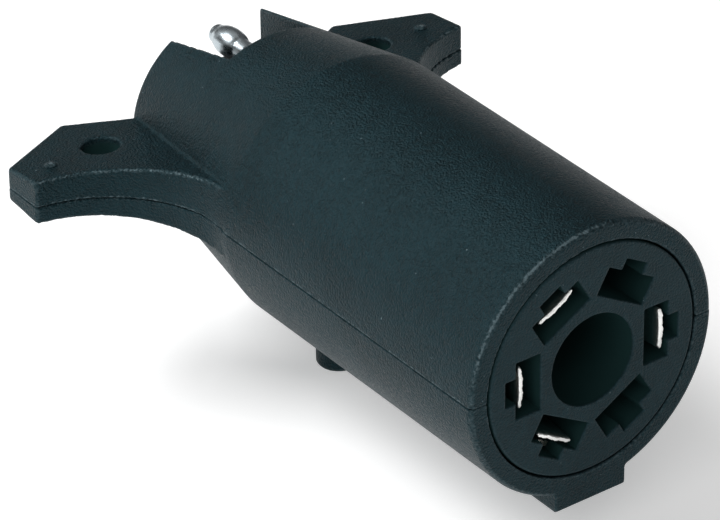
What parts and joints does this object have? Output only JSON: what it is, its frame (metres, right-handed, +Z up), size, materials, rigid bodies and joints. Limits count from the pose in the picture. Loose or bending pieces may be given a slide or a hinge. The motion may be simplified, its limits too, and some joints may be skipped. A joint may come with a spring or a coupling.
{
  "type": "trailer wiring adapter",
  "caption": "Moulded trailer wiring adapter: slotted blade plug nose, tapered two-shell body with drilled ears, and a flat-connector outlet with one bare bullet pin under a notch.",
  "frame": {"origin": "bottom centre of the whole adapter's box, level with the end of the lid catch", "axes": "+Y along the body from the blade plug's face to the flat outlet, +Z up from the key side, +X across the ears"},
  "size_m": [0.0814, 0.0994, 0.0547],
  "materials": {
    "black_housing": "finely grained moulded black",
    "black_insert": "satin moulded black",
    "black_rubber": "matt black rubber",
    "tinned_brass": "tinned, satin",
    "bright_nickel": "bright nickel plate",
    "wire_white": "white wire jacket",
    "wire_brown": "brown wire jacket",
    "wire_yellow": "yellow wire jacket",
    "wire_green": "green wire jacket"
  },
  "bodies": {
    "adapter": {"upper_housing": "black_housing", "lower_housing": "black_housing", "plug_insert": "black_insert", "insert_backplate": "black_insert", "flat_terminal_block": "black_rubber", "blade_contact_ground": "tinned_brass", "blade_contact_tail": "tinned_brass", "blade_contact_left": "tinned_brass", "blade_contact_right": "tinned_brass", "wire_ground": "wire_white", "wire_tail": "wire_brown", "wire_left": "wire_yellow", "wire_right": "wire_green", "flat_pin_ground": "bright_nickel", "flat_socket_tail": "tinned_brass", "flat_socket_left": "tinned_brass", "flat_socket_right": "tinned_brass"},
    "leaf_ground": {"contact_spring_ground": "bright_nickel"},
    "leaf_tail": {"contact_spring_tail": "bright_nickel"},
    "leaf_left": {"contact_spring_left": "bright_nickel"},
    "leaf_right": {"contact_spring_right": "bright_nickel"}
  },
  "joints": [
    {"name": "flex_ground", "type": "hinge", "parent": "adapter", "child": "leaf_ground", "pos_m": [-0.00647, -0.02596, 0.04367], "axis": [-0.866, 0, -0.5], "range_deg": [0, 1.4], "stiffness_Nm_per_rad": 0.5},
    {"name": "flex_tail", "type": "hinge", "parent": "adapter", "child": "leaf_tail", "pos_m": [-0.00647, -0.02596, 0.02124], "axis": [0.866, 0, -0.5], "range_deg": [0, 1.4], "stiffness_Nm_per_rad": 0.5},
    {"name": "flex_left", "type": "hinge", "parent": "adapter", "child": "leaf_left", "pos_m": [-0.01295, -0.02596, 0.03245], "axis": [0, 0, -1], "range_deg": [0, 1.4], "stiffness_Nm_per_rad": 0.5},
    {"name": "flex_right", "type": "hinge", "parent": "adapter", "child": "leaf_right", "pos_m": [0.01295, -0.02596, 0.03245], "axis": [0, 0, 1], "range_deg": [0, 1.4], "stiffness_Nm_per_rad": 0.5}
  ]
}
